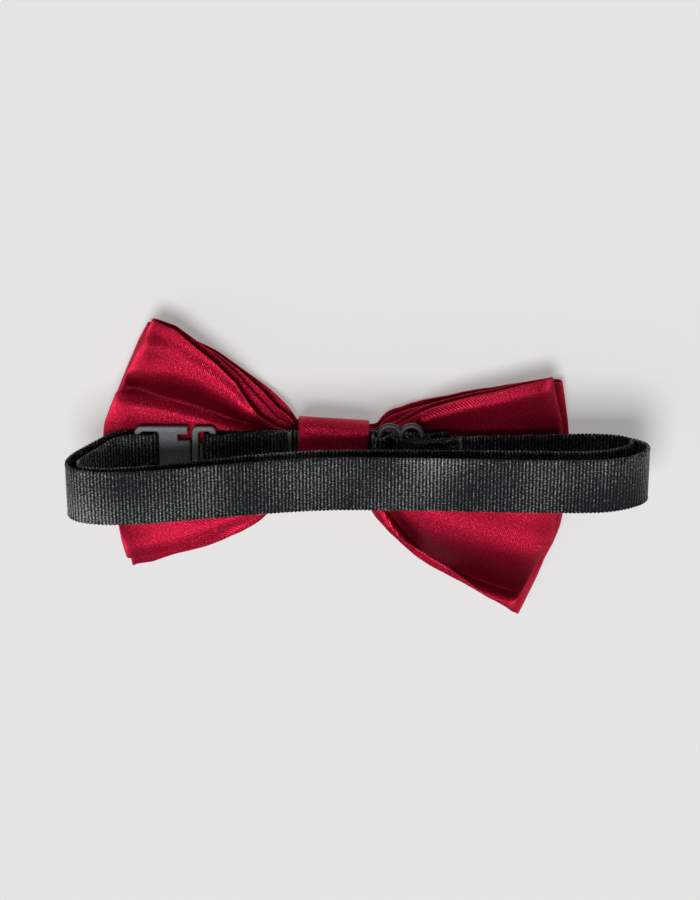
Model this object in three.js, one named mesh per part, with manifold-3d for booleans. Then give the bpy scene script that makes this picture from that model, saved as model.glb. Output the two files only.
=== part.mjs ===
// A pre-tied satin bow tie on an adjustable elastic neckband, lying face down.
// Two flat satin loops are gathered at the middle, bound with thread and covered by the knot.
// A short strap carries the clip's ring; the long band carries its hook and a figure-eight slider.
// Millimetres. +X runs along the neckband, +Y to the top of the bow, +Z out of the bow's back.
// The origin is the centre of the knot's front face, on the surface that the bow lies on.
import * as THREE from 'three';
import { mergeVertices } from 'three/addons/utils/BufferGeometryUtils.js';
import Module from 'manifold-3d';

const wasm = await Module();
wasm.setup();

// Bow
const BOW_TURN = -7.4 * Math.PI / 180;
const KNOT_TURN = -3.7 * Math.PI / 180;
const CLOTH = 1.0;
const FRONT_REACH = 62;
const REAR_REACH = 60.5;
const WAIST_HALF_HEIGHT = 7.8;
const WAIST_LENGTH = 10.4;
const WAIST_DROP = 0.8;
const WING_DROP = 4.6;
const WING_SPREAD = 30;
const WING_SPREAD_OVER = 21;
const FOLD_BULGE = 0.11;
const FRONT_WAIST_Z = 5.25;
const REAR_WAIST_Z = 9.1;
const WAIST_HALF_DEPTH = 1.75;
const FRONT_WING_Z = 3.2;
const FRONT_WING_HALF_DEPTH = 2.8;
const REAR_WING_Z = 9.0;
const REAR_WING_HALF_DEPTH = 2.6;
const INTERLINING = 0.7;

// Knot
const KNOT_HALF_HEIGHT = 12.2;
const KNOT_DEPTH = 15.6;
const KNOT_HALF_WIDTH = 8.9;
const KNOT_CLOTH = 1.3;
const KNOT_CORNER = 4;
const THREAD = 0.5;
const TACK_PITCH = 0.8;

// Neckband: woven elastic, 15 mm wide
const BAND_WIDTH = 15;
const BAND_THICKNESS = 1.0;
const BAND_Y = 1;
const BACK_STRAND_Z = 12.5;
const GAP = 0.3;
const LAYER = BAND_THICKNESS + GAP;

// Clip
const CLIP_Z = 14.2;
const CLIP_THICKNESS = 1.5;
const CLIP_HALF_HEIGHT = 9.2;
const CLIP_SLOT_HALF_HEIGHT = 7.9;
const CLIP_BAR = 1.5;
const FOLD_RADIUS = 1.7;
const HOOK_BAR_X = -51;
const RING_BAR_X = -31.2;
const RING_LEFT_X = -36.75;
const RING_CATCH_BAR = 1.7;
const HOOK_SLOT_RIGHT_X = -45.3;
const HOOK_PLATE_RIGHT_X = -37.2;

// Slider
const SLIDER_Z = 17;
const SLIDER_THICKNESS = 1.4;
const SLIDER_LEFT_X = 11.4;
const SLIDER_PITCH = 5.7;
const SLIDER_ARCH_RADIUS = 3.35;
const SLIDER_FRAME = 1.4;
const SLIDER_HALF_HEIGHT = 11;

const satin = new THREE.MeshStandardMaterial({ color: 0xa0122f, roughness: 0.4, metalness: 0 });
const fusible = new THREE.MeshStandardMaterial({ color: 0xd8d4cc, roughness: 0.9, metalness: 0 });
const redThread = new THREE.MeshStandardMaterial({ color: 0x8c1028, roughness: 0.6, metalness: 0 });
const blackThread = new THREE.MeshStandardMaterial({ color: 0x202226, roughness: 0.6, metalness: 0 });
const elastic = new THREE.MeshStandardMaterial({ color: 0x2a2c2f, roughness: 0.75, metalness: 0 });
const plastic = new THREE.MeshStandardMaterial({ color: 0x303236, roughness: 0.55, metalness: 0 });

const bow = new THREE.Group();
bow.rotation.z = BOW_TURN;
const knot = new THREE.Group();
knot.rotation.z = KNOT_TURN;
const neckband = new THREE.Group();
neckband.position.y = BAND_Y;
const part = new THREE.Group();
part.add(bow, knot, neckband);

function add(group, name, geometry, material) {
  const mesh = new THREE.Mesh(geometry, material);
  mesh.name = name;
  group.add(mesh);
}

// Joins rows of points into one closed surface. Each row is a closed loop of points; the rows
// follow each other round a ring, or end in a flat cap at the first and last row.
function loft(rows, isRing) {
  const count = rows[0].length;
  const positions = rows.flat(2);
  const index = [];
  const last = isRing ? rows.length : rows.length - 1;
  for (let i = 0; i < last; i += 1) {
    const next = (i + 1) % rows.length;
    for (let j = 0; j < count; j += 1) {
      const beside = (j + 1) % count;
      const a = i * count + j;
      const b = i * count + beside;
      const c = next * count + beside;
      const d = next * count + j;
      index.push(a, b, c, a, c, d);
    }
  }
  if (!isRing) {
    const end = (rows.length - 1) * count;
    for (let j = 1; j < count - 1; j += 1) {
      index.push(0, j + 1, j, end, end + j, end + j + 1);
    }
  }
  const geometry = new THREE.BufferGeometry();
  geometry.setAttribute('position', new THREE.Float32BufferAttribute(positions, 3));
  geometry.setIndex(index);
  geometry.computeVertexNormals();
  return geometry;
}

const smoothStep = (from, to, x) => THREE.MathUtils.smoothstep(x, from, to);

// Half the height of a wing at a distance u from the knot's centre line.
function wingHalfHeight(u) {
  const past = Math.max(Math.abs(u) - WAIST_LENGTH, 0);
  return WAIST_HALF_HEIGHT + WING_SPREAD * (1 - Math.exp(-past / WING_SPREAD_OVER));
}

// A wing hangs a little lower than the waist: how far, at a distance u.
const wingDrop = (u) => THREE.MathUtils.lerp(WAIST_DROP, WING_DROP, smoothStep(WAIST_LENGTH, 30, Math.abs(u)));

// ---- The two satin loops of the bow -------------------------------------------------------
// Each is one wide strip closed into a flat loop: a near and a far ply that meet in a soft fold
// at both ends, and are gathered to the waist inside the knot.
function bowLoop(reach, waistZ, wingZ, wingHalfDepth) {
  const around = 56;
  const across = 6;
  function point(angle, t, inset) {
    const q = Math.abs(Math.cos(angle));
    const open = smoothStep(0.13, 0.42, q);
    const half = THREE.MathUtils.lerp(WAIST_HALF_DEPTH, wingHalfDepth, open) - inset;
    const middle = THREE.MathUtils.lerp(waistZ, wingZ, open);
    const fold = Math.sqrt(Math.abs(Math.sin(angle))) * Math.sign(Math.sin(angle));
    const u = (reach - inset) * Math.cos(angle);
    const height = wingHalfHeight(u);
    return [u * (1 - FOLD_BULGE * q ** 4 * t * t), t * height - wingDrop(u), middle + half * fold];
  }
  const rows = [];
  for (let i = 0; i < around; i += 1) {
    const angle = (i + 0.5) / around * 2 * Math.PI;
    const row = [];
    for (let j = 0; j <= across; j += 1) row.push(point(angle, 2 * j / across - 1, 0));
    for (let j = across; j >= 0; j -= 1) row.push(point(angle, 2 * j / across - 1, CLOTH));
    rows.push(row);
  }
  return loft(rows, true);
}
add(bow, 'front_bow', bowLoop(FRONT_REACH, FRONT_WAIST_Z, FRONT_WING_Z, FRONT_WING_HALF_DEPTH), satin);
add(bow, 'rear_bow', bowLoop(REAR_REACH, REAR_WAIST_Z, REAR_WING_Z, REAR_WING_HALF_DEPTH), satin);

// ---- Interlining ----------------------------------------------------------------------------
// A stiff non-woven sheet inside each of the four wing pouches keeps the satin flat.
function interlining(side, middleZ) {
  const nearKnot = 27;
  const nearFold = 52;
  const margin = 2.5;
  const steps = 4;
  const rows = [];
  for (let i = 0; i <= steps; i += 1) {
    const u = side * THREE.MathUtils.lerp(nearKnot, nearFold, i / steps);
    const top = wingHalfHeight(u) - margin - wingDrop(u);
    const bottom = margin - wingHalfHeight(u) - wingDrop(u);
    const half = INTERLINING / 2;
    rows.push([
      [u, bottom, middleZ - half],
      [u, top, middleZ - half],
      [u, top, middleZ + half],
      [u, bottom, middleZ + half],
    ]);
  }
  if (side < 0) rows.reverse();
  return loft(rows, false);
}
for (const [side, word] of [[-1, 'left'], [1, 'right']]) {
  add(bow, `front_interlining_${word}`, interlining(side, FRONT_WING_Z), fusible);
  add(bow, `rear_interlining_${word}`, interlining(side, REAR_WING_Z), fusible);
}

// ---- Thread ---------------------------------------------------------------------------------
// A thread is a thin round tube along a smooth curve through its points.
function thread(points, steps) {
  const circle = new THREE.Shape();
  circle.absarc(0, 0, THREAD / 2, 0, 2 * Math.PI);
  const path = new THREE.CatmullRomCurve3(points.map((p) => new THREE.Vector3(...p)));
  return new THREE.ExtrudeGeometry(circle, { steps, extrudePath: path, curveSegments: 3 });
}

// The gathering thread is wound three times round the waist of both loops.
function gatherThread() {
  const turns = 3;
  const pitch = 1.3;
  const clear = GAP + THREAD / 2;
  const halfHeight = WAIST_HALF_HEIGHT + 2.6 * clear;
  const bottom = FRONT_WAIST_Z - WAIST_HALF_DEPTH - clear - 0.05;
  const top = REAR_WAIST_Z + WAIST_HALF_DEPTH + clear;
  const halfDepth = (top - bottom) / 2;
  const middle = (top + bottom) / 2;
  const perTurn = 24;
  const points = [];
  for (let i = 0; i <= turns * perTurn; i += 1) {
    const angle = i / perTurn * 2 * Math.PI;
    const squareness = 0.1;
    const y = Math.sign(Math.cos(angle)) * Math.abs(Math.cos(angle)) ** squareness;
    const z = Math.sign(Math.sin(angle)) * Math.abs(Math.sin(angle)) ** squareness;
    const x = (i / perTurn - turns / 2) * pitch;
    points.push([x, y * halfHeight - WAIST_DROP, middle + z * halfDepth]);
  }
  return thread(points, turns * perTurn);
}
add(bow, 'gather_thread', gatherThread(), redThread);

// A tack is one thread laid back and forth across a strap at height z, its legs side by side and
// joined by round turns. It starts at fromX.
function tack(fromX, legs, halfWidth, z) {
  const turnRadius = TACK_PITCH / 2;
  const path = [];
  for (let leg = 0; leg < legs; leg += 1) {
    const x = fromX + leg * TACK_PITCH;
    const way = leg % 2 ? -1 : 1;
    path.push([x, -way * halfWidth], [x, way * halfWidth]);
    for (let part = 1; part < 4 && leg < legs - 1; part += 1) {
      const angle = part / 4 * Math.PI;
      path.push([x + turnRadius * (1 - Math.cos(angle)), way * (halfWidth + turnRadius * Math.sin(angle))]);
    }
  }
  const sides = 8;
  const rows = path.map(([x, y], i) => {
    const [x0, y0] = path[Math.max(i - 1, 0)];
    const [x1, y1] = path[Math.min(i + 1, path.length - 1)];
    const length = Math.hypot(x1 - x0, y1 - y0);
    return Array.from({ length: sides }, (_, side) => {
      const angle = side / sides * 2 * Math.PI;
      const aside = THREAD / 2 * Math.cos(angle) / length;
      return [x - aside * (y1 - y0), y + aside * (x1 - x0), z + THREAD / 2 * Math.sin(angle)];
    });
  });
  return loft(rows, false);
}

// ---- Knot -----------------------------------------------------------------------------------
// The knot is a satin strip wrapped once round the waist and the ends of both straps.
function roundedRectangle(target, x0, y0, x1, y1, radius) {
  target.moveTo(x0 + radius, y0);
  target.lineTo(x1 - radius, y0);
  target.absarc(x1 - radius, y0 + radius, radius, -Math.PI / 2, 0);
  target.absarc(x1 - radius, y1 - radius, radius, 0, Math.PI / 2);
  target.absarc(x0 + radius, y1 - radius, radius, Math.PI / 2, Math.PI);
  target.absarc(x0 + radius, y0 + radius, radius, Math.PI, 3 * Math.PI / 2);
  return target;
}

// Turns an extrusion so that the drawing's x and y become world Y and Z, and its depth world X.
const alongX = (geometry) => geometry.rotateX(Math.PI / 2).rotateZ(Math.PI / 2);

function knotWrap() {
  const wall = KNOT_CLOTH;
  const outline = new THREE.Shape();
  roundedRectangle(outline, -KNOT_HALF_HEIGHT, 0, KNOT_HALF_HEIGHT, KNOT_DEPTH, KNOT_CORNER);
  const inside = new THREE.Path();
  roundedRectangle(inside, -KNOT_HALF_HEIGHT + wall, wall, KNOT_HALF_HEIGHT - wall, KNOT_DEPTH - wall,
    KNOT_CORNER - wall);
  outline.holes.push(inside);
  const depth = 2 * KNOT_HALF_WIDTH;
  const geometry = new THREE.ExtrudeGeometry(outline, { depth, bevelEnabled: false, curveSegments: 6 });
  return alongX(geometry.translate(0, 0, -KNOT_HALF_WIDTH));
}
add(knot, 'knot_wrap', knotWrap(), satin);

// The knot's own stiffening lies inside the wrap, behind its front face.
const liningHeight = 2 * (KNOT_HALF_HEIGHT - KNOT_CLOTH - 2.4);
const liningGeometry = new THREE.BoxGeometry(2 * KNOT_HALF_WIDTH - 1, liningHeight, INTERLINING);
liningGeometry.translate(0, 0, KNOT_CLOTH + GAP + INTERLINING / 2);
add(knot, 'knot_lining', liningGeometry, fusible);

// Whip stitches close the wrap's seam across its back, below the straps.
function knotStitches() {
  const pitch = 1.7;
  const count = 9;
  const z = KNOT_DEPTH + GAP + THREAD / 2;
  const points = [];
  for (let i = 0; i <= 2 * count; i += 1) {
    const y = i % 2 ? -7.4 : -9;
    points.push([(i / 2 - count / 2) * pitch, y, z]);
  }
  return thread(points, count * 5);
}
add(knot, 'knot_stitches', knotStitches(), redThread);

// ---- Webbing --------------------------------------------------------------------------------
// A stretch of the band: its centre line is a curve in X and Z, given its thickness and width.
function ribbon(curve, divisions) {
  const half = BAND_THICKNESS / 2;
  const left = [];
  const right = [];
  for (let i = 0; i <= divisions; i += 1) {
    const at = curve.getPointAt(i / divisions);
    const along = curve.getTangentAt(i / divisions);
    const offset = new THREE.Vector2(-along.y, along.x).multiplyScalar(half);
    left.push(new THREE.Vector2(at.x, at.y).add(offset));
    right.push(new THREE.Vector2(at.x, at.y).sub(offset));
  }
  const outline = new THREE.Shape(left.concat(right.reverse()));
  const geometry = new THREE.ExtrudeGeometry(outline, { depth: BAND_WIDTH, bevelEnabled: false });
  return geometry.rotateX(Math.PI / 2).translate(0, BAND_WIDTH / 2, 0);
}

const route = (points) => new THREE.SplineCurve(points.map((p) => new THREE.Vector2(...p)));
const straight = (from, to) => new THREE.LineCurve(new THREE.Vector2(...from), new THREE.Vector2(...to));

// ---- Short strap ----------------------------------------------------------------------------
// It leaves the knot's left side, turns round the ring's bar and is sewn back on itself.
const TAIL_END_X = -10.9;
function shortStrap() {
  const points = [[-1.5, BACK_STRAND_Z]];
  for (let x = -6; x > RING_BAR_X + 2; x -= 5) points.push([x, BACK_STRAND_Z]);
  const turnSteps = 6;
  for (let i = 0; i <= turnSteps; i += 1) {
    const angle = -Math.PI / 2 - i / turnSteps * Math.PI;
    points.push([RING_BAR_X + FOLD_RADIUS * Math.cos(angle), CLIP_Z + FOLD_RADIUS * Math.sin(angle)]);
  }
  const lyingZ = BACK_STRAND_Z + LAYER + 0.05;
  points.push([-28.6, CLIP_Z + FOLD_RADIUS - 0.25], [-25.4, lyingZ + 0.7], [-22, lyingZ]);
  points.push([-16, lyingZ], [TAIL_END_X, lyingZ]);
  return ribbon(route(points), 56);
}
add(neckband, 'short_strap', shortStrap(), elastic);
const tackOnTailZ = BACK_STRAND_Z + LAYER + 0.05 + BAND_THICKNESS / 2 + GAP + THREAD / 2;
add(neckband, 'short_strap_tack', tack(-15.6, 5, 5.6, tackOnTailZ), blackThread);

// Both strap ends are tacked down inside the knot.
const tackInKnotZ = BACK_STRAND_Z + BAND_THICKNESS / 2 + GAP + THREAD / 2;
add(neckband, 'short_strap_anchor_tack', tack(-6.4, 5, 5.6, tackInKnotZ), blackThread);
add(neckband, 'band_anchor_tack', tack(3.2, 5, 5.6, tackInKnotZ), blackThread);

// ---- Long band ------------------------------------------------------------------------------
// One length of elastic: it leaves the knot's right side, loops round outside, crosses in front,
// turns back round the hook's bar, follows itself inside, and ends sewn round the slider's bar.
const CUT = 0.18;
const RIGHT_TURN_X = 66;
const LEFT_STRAND_X = -52;
const FREE_STRAND_START_X = 33.9;

add(neckband, 'band_back_strand',
  ribbon(straight([1.5, BACK_STRAND_Z], [RIGHT_TURN_X - CUT, BACK_STRAND_Z]), 4), elastic);

const outerRightTurn = [[RIGHT_TURN_X + CUT, BACK_STRAND_Z], [71.5, 13], [76.5, 15], [80.4, 19], [81.2, 23.6],
  [79.2, 28.2], [75, 31.8], [69.6, 33.9], [64, 34.4]];
add(neckband, 'band_outer_right_turn', ribbon(route(outerRightTurn), 22), elastic);

const outerFrontStrand = [[64 - 2 * CUT, 34.4], [48, 34.2], [24, 32.9], [0, 32.3], [-24, 33.4],
  [LEFT_STRAND_X + CUT, 35]];
add(neckband, 'band_outer_front_strand', ribbon(route(outerFrontStrand), 16), elastic);

const outerLeftTurn = [[LEFT_STRAND_X - CUT, 35], [-58, 34.7], [-63.8, 32.4], [-67.4, 28], [-67.9, 22.6],
  [-65.8, 17.4], [-61.8, 13.7], [-57, BACK_STRAND_Z]];
add(neckband, 'band_outer_left_turn', ribbon(route(outerLeftTurn), 22), elastic);

function hookFold() {
  const points = [[-57 + 3 * CUT, BACK_STRAND_Z], [-54, BACK_STRAND_Z]];
  const turnSteps = 6;
  for (let i = 0; i <= turnSteps; i += 1) {
    const angle = -Math.PI / 2 + i / turnSteps * Math.PI;
    points.push([HOOK_BAR_X + FOLD_RADIUS * Math.cos(angle), CLIP_Z + FOLD_RADIUS * Math.sin(angle)]);
  }
  points.push([-54, CLIP_Z + FOLD_RADIUS], [-57 + 3 * CUT, CLIP_Z + FOLD_RADIUS]);
  return ribbon(route(points), 30);
}
add(neckband, 'band_hook_fold', hookFold(), elastic);

const innerLeftTurn = [[-57, CLIP_Z + FOLD_RADIUS], [-60.8, 17.2], [-63.9, 20.2], [-65, 24.2], [-63.6, 28.2],
  [-60.2, 31], [-56, 31.9], [LEFT_STRAND_X - CUT, 31.9]];
add(neckband, 'band_inner_left_turn', ribbon(route(innerLeftTurn), 22), elastic);

const innerFrontStrand = [[LEFT_STRAND_X + CUT, 31.9], [-36, 30.2], [-18, 27.9], [0, 26.9], [20, 26.8],
  [42, 27.3], [60 - 2 * CUT, 27.9]];
add(neckband, 'band_inner_front_strand', ribbon(route(innerFrontStrand), 16), elastic);

const innerRightTurn = [[60, 27.9], [66.5, 27.7], [72.4, 25.9], [76.4, 22.6], [77.1, 18.9], [74.4, 16.4],
  [70.4, 15.5], [RIGHT_TURN_X + CUT, 15.2]];
add(neckband, 'band_inner_right_turn', ribbon(route(innerRightTurn), 22), elastic);

const freeStrand = straight([RIGHT_TURN_X - CUT, 15.2], [FREE_STRAND_START_X, 17.3]);
add(neckband, 'band_free_strand', ribbon(freeStrand, 4), elastic);

// ---- Slider ---------------------------------------------------------------------------------
// A moulded figure-eight frame: two round-ended slots that share the centre bar.
const leftArchX = SLIDER_LEFT_X + SLIDER_ARCH_RADIUS;
const rightArchX = leftArchX + SLIDER_PITCH;
const centreBarX = (leftArchX + rightArchX) / 2;

function slider() {
  const radius = SLIDER_ARCH_RADIUS;
  const straightHalf = SLIDER_HALF_HEIGHT - radius;
  const meeting = Math.acos(SLIDER_PITCH / 2 / radius);
  const outline = new THREE.Shape();
  outline.moveTo(SLIDER_LEFT_X, -straightHalf);
  outline.absarc(leftArchX, -straightHalf, radius, Math.PI, 2 * Math.PI - meeting);
  outline.absarc(rightArchX, -straightHalf, radius, Math.PI + meeting, 2 * Math.PI);
  outline.absarc(rightArchX, straightHalf, radius, 0, Math.PI - meeting);
  outline.absarc(leftArchX, straightHalf, radius, meeting, Math.PI);
  for (const x of [leftArchX, rightArchX]) {
    const slot = new THREE.Path();
    const inner = radius - SLIDER_FRAME;
    slot.absarc(x, -straightHalf, inner, Math.PI, 2 * Math.PI);
    slot.absarc(x, straightHalf, inner, 0, Math.PI);
    outline.holes.push(slot);
  }
  const bevel = 0.3;
  const geometry = new THREE.ExtrudeGeometry(outline, {
    depth: SLIDER_THICKNESS - 2 * bevel, bevelThickness: bevel, bevelSize: bevel, bevelOffset: -bevel,
    bevelSegments: 1, curveSegments: 8,
  });
  return geometry.translate(0, 0, SLIDER_Z - SLIDER_THICKNESS / 2 + bevel);
}
add(neckband, 'slider', slider(), plastic);

// Points of an arc about a bar, from one angle to another in degrees, with the ends included.
function arcAbout(x, radius, from, to) {
  const steps = Math.ceil(Math.abs(to - from) / 30);
  const points = [];
  for (let i = 0; i <= steps; i += 1) {
    const angle = THREE.MathUtils.degToRad(THREE.MathUtils.lerp(from, to, i / steps));
    points.push([x + radius * Math.cos(angle), SLIDER_Z + radius * Math.sin(angle)]);
  }
  return points;
}

// The running strand is threaded over the side bars and under the centre bar.
const leftBarX = SLIDER_LEFT_X + SLIDER_FRAME / 2;
const rightBarX = rightArchX + SLIDER_ARCH_RADIUS - SLIDER_FRAME / 2;
const overBar = SLIDER_FRAME / 2 + GAP + BAND_THICKNESS / 2 + 0.15;
const wrapRadius = 1.85;
const underWrap = wrapRadius + LAYER;
const onStrandZ = BACK_STRAND_Z + LAYER + 0.1;
const weave = [[leftBarX - overBar, onStrandZ + 0.1], [leftBarX - overBar, 15.5],
  ...arcAbout(leftBarX, overBar, 180, 10), ...arcAbout(centreBarX, underWrap, 215, 325),
  ...arcAbout(rightBarX, overBar, 170, 0),
  [rightBarX + 2.3, 15.4], [rightBarX + 4.2, onStrandZ + 0.2], [rightBarX + 7, onStrandZ]];
add(neckband, 'band_weave', ribbon(route(weave), 64), elastic);

// The band's end is wrapped round the centre bar and sewn to itself.
const tab = [[FREE_STRAND_START_X - 2 * CUT, 17.4], [29.5, 18.4], [26.2, 19.4],
  ...arcAbout(rightBarX, overBar + LAYER + 0.05, 80, 140), ...arcAbout(centreBarX, wrapRadius, 10, -280),
  ...arcAbout(rightBarX, overBar + 2 * LAYER + 0.15, 125, 75),
  [27, 20.7], [30.2, 19.8], [33.3, 18.95]];
add(neckband, 'band_sewn_tab', ribbon(route(tab), 80), elastic);

// Bar tack through both layers of the tab; it follows the tab's slope.
const tabSlope = Math.atan2(0.85, 3.1);
const tabTack = tack(-1.2, 4, 5.6, BAND_THICKNESS / 2 + GAP + THREAD / 2 + 0.05);
tabTack.rotateY(tabSlope).translate(30.9, 0, 19.61);
add(neckband, 'band_tab_tack', tabTack, blackThread);

// ---- Clip -----------------------------------------------------------------------------------
function solid(geometry) {
  const bare = geometry.clone();
  bare.deleteAttribute('normal');
  bare.deleteAttribute('uv');
  const merged = mergeVertices(bare, 1e-4);
  const vertProperties = new Float32Array(merged.attributes.position.array);
  const triVerts = new Uint32Array(merged.index.array);
  return new wasm.Manifold(new wasm.Mesh({ numProp: 3, vertProperties, triVerts }));
}

function geometryOf(manifold) {
  const mesh = manifold.getMesh();
  const geometry = new THREE.BufferGeometry();
  geometry.setAttribute('position', new THREE.BufferAttribute(new Float32Array(mesh.vertProperties), 3));
  geometry.setIndex(new THREE.BufferAttribute(new Uint32Array(mesh.triVerts), 1));
  geometry.computeVertexNormals();
  return geometry;
}

// A flat moulding of the clip's thickness with softened edges, centred on the clip's height.
function moulding(outline) {
  const bevel = 0.35;
  const geometry = new THREE.ExtrudeGeometry(outline, {
    depth: CLIP_THICKNESS - 2 * bevel, bevelThickness: bevel, bevelSize: bevel, bevelOffset: -bevel,
    bevelSegments: 1, curveSegments: 3,
  });
  return geometry.translate(0, 0, CLIP_Z - CLIP_THICKNESS / 2 + bevel);
}

// The ring is a flat frame: the strap holds its right bar and the hook catches its left bar.
function clipRing() {
  const right = RING_BAR_X + CLIP_BAR / 2;
  const outline = new THREE.Shape();
  roundedRectangle(outline, RING_LEFT_X, -CLIP_HALF_HEIGHT, right, CLIP_HALF_HEIGHT, 1.6);
  const opening = new THREE.Path();
  roundedRectangle(opening, RING_LEFT_X + RING_CATCH_BAR, -CLIP_SLOT_HALF_HEIGHT,
    RING_BAR_X - CLIP_BAR / 2, CLIP_SLOT_HALF_HEIGHT, 0.8);
  outline.holes.push(opening);
  return moulding(outline);
}
add(neckband, 'clip_ring', clipRing(), plastic);

// The hook is a plate with a slot for the band at its left; a tongue steps down from its right
// edge, passes under the ring's bar and turns up behind it.
function clipHook() {
  const left = HOOK_BAR_X - CLIP_BAR / 2;
  const notchLeft = HOOK_PLATE_RIGHT_X - 3.2;
  const notchHeights = [5.4, 7.1];
  const half = CLIP_HALF_HEIGHT;
  const corner = 2;
  const outline = new THREE.Shape();
  outline.moveTo(left + corner, -half);
  outline.lineTo(HOOK_PLATE_RIGHT_X - 0.6, -half);
  outline.lineTo(HOOK_PLATE_RIGHT_X - 0.6, -notchHeights[1]);
  outline.lineTo(notchLeft, -notchHeights[1]);
  outline.lineTo(notchLeft, -notchHeights[0]);
  outline.lineTo(HOOK_PLATE_RIGHT_X, -notchHeights[0]);
  outline.lineTo(HOOK_PLATE_RIGHT_X, notchHeights[0]);
  outline.lineTo(notchLeft, notchHeights[0]);
  outline.lineTo(notchLeft, notchHeights[1]);
  outline.lineTo(HOOK_PLATE_RIGHT_X - 0.6, notchHeights[1]);
  outline.lineTo(HOOK_PLATE_RIGHT_X - 0.6, half);
  outline.lineTo(left + corner, half);
  outline.absarc(left + corner, half - corner, corner, Math.PI / 2, Math.PI);
  outline.absarc(left + corner, -half + corner, corner, Math.PI, 3 * Math.PI / 2);
  const slot = new THREE.Path();
  roundedRectangle(slot, HOOK_BAR_X + CLIP_BAR / 2, -CLIP_SLOT_HALF_HEIGHT, HOOK_SLOT_RIGHT_X,
    CLIP_SLOT_HALF_HEIGHT, 1);
  outline.holes.push(slot);

  const tongueHalfWidth = 4.2;
  const tongueBottom = CLIP_Z - 2.1;
  const tongueTop = CLIP_Z - CLIP_THICKNESS / 2 - 0.35;
  const lipLeft = -34.6;
  const lipRight = -33.8;
  const lipTop = CLIP_Z + 1.1;
  const rootLeft = HOOK_PLATE_RIGHT_X - 2.6;
  const profile = new THREE.Shape();
  profile.moveTo(rootLeft, tongueBottom);
  profile.lineTo(lipRight, tongueBottom);
  profile.lineTo(lipRight, lipTop);
  profile.lineTo(lipLeft, lipTop);
  profile.lineTo(lipLeft, tongueTop);
  profile.lineTo(HOOK_PLATE_RIGHT_X - 0.3, tongueTop);
  profile.lineTo(HOOK_PLATE_RIGHT_X - 0.3, CLIP_Z);
  profile.lineTo(rootLeft, CLIP_Z);
  const tongue = new THREE.ExtrudeGeometry(profile, { depth: 2 * tongueHalfWidth, bevelEnabled: false });
  tongue.rotateX(Math.PI / 2).translate(0, tongueHalfWidth, 0);
  return geometryOf(solid(moulding(outline)).add(solid(tongue)));
}
add(neckband, 'clip_hook', clipHook(), plastic);

export default part;
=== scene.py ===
"""A pre-tied satin bow tie lying on its face: two gathered satin loops, a wrapped knot, and an
elastic neckband with a slider and a hook-and-ring clip. Lengths in the sections are millimetres."""
import math

import bmesh
import bpy
import numpy as np
from mathutils import Matrix, Vector


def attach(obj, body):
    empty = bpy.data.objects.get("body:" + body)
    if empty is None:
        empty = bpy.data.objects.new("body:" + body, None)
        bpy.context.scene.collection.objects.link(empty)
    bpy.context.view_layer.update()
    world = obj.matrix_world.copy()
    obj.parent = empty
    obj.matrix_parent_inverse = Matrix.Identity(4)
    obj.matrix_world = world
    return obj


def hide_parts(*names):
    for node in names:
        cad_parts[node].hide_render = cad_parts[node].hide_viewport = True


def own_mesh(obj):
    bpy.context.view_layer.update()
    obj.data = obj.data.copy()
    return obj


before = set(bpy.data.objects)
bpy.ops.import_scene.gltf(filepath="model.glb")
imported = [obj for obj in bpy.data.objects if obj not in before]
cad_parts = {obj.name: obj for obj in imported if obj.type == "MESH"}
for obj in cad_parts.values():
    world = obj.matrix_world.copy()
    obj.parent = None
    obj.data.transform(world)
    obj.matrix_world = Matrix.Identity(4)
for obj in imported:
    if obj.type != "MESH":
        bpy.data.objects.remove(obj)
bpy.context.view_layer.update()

# ---- Table, light and camera ----------------------------------------------------------------
# The tie lies on a pale table that glows evenly. A broad soft lamp stands almost overhead and a
# weak one fills in from the lower left. The camera looks at the bow's back, 20 degrees off square.
MM = 0.001


def colour(code):
    """The linear RGBA of an sRGB hex code: each channel's gamma curve undone."""
    channels = np.array([int(code[i:i + 2], 16) for i in (1, 3, 5)]) / 255
    linear = np.where(channels <= 0.04045, channels / 12.92, ((channels + 0.055) / 1.055) ** 2.4)
    return (*linear.tolist(), 1.0)


def set_inputs(material, node, inputs):
    """Sets a node's inputs: a socket is linked, and anything else is its constant."""
    for name, value in inputs.items():
        if isinstance(value, bpy.types.NodeSocket):
            material.node_tree.links.new(value, node.inputs[name])
        else:
            node.inputs[name].default_value = value


def add_node(material, kind, inputs=(), **settings):
    """Adds one shader node to a material, with its settings and its inputs."""
    node = material.node_tree.nodes.new("ShaderNode" + kind)
    for name, value in settings.items():
        setattr(node, name, value)
    set_inputs(material, node, dict(inputs))
    return node


def new_material(name, **constants):
    """A material with one Principled shader whose constants are set; gives both."""
    material = bpy.data.materials.new(name)
    material.use_nodes = True
    shader = material.node_tree.nodes["Principled BSDF"]
    set_inputs(material, shader, {key.replace("_", " "): value for key, value in constants.items()})
    return material, shader


def new_object(name, data):
    """An object in the scene that shows a mesh, a lamp or a camera."""
    made = bpy.data.objects.new(name, data)
    bpy.context.scene.collection.objects.link(made)
    return made


table_mesh = bpy.data.meshes.new("table")
TABLE_HALF, TABLE_Z = 1.6, -0.0002
table_mesh.from_pydata(
    [(x * TABLE_HALF, y * TABLE_HALF, TABLE_Z) for x, y in ((-1, -1), (1, -1), (1, 1), (-1, 1))],
    [], [(0, 1, 2, 3)])
table = new_object("table", table_mesh)
# An opal light table: it glows evenly, so that shadows on it stay pale, and has no gloss.
opal_board, _ = new_material("opal_light_table", Base_Color=(0.5, 0.5, 0.5, 1), Roughness=0.9,
                             Specular_IOR_Level=0.0, Emission_Color=(1, 1, 1, 1),
                             Emission_Strength=0.31)
table_mesh.materials.append(opal_board)

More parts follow.
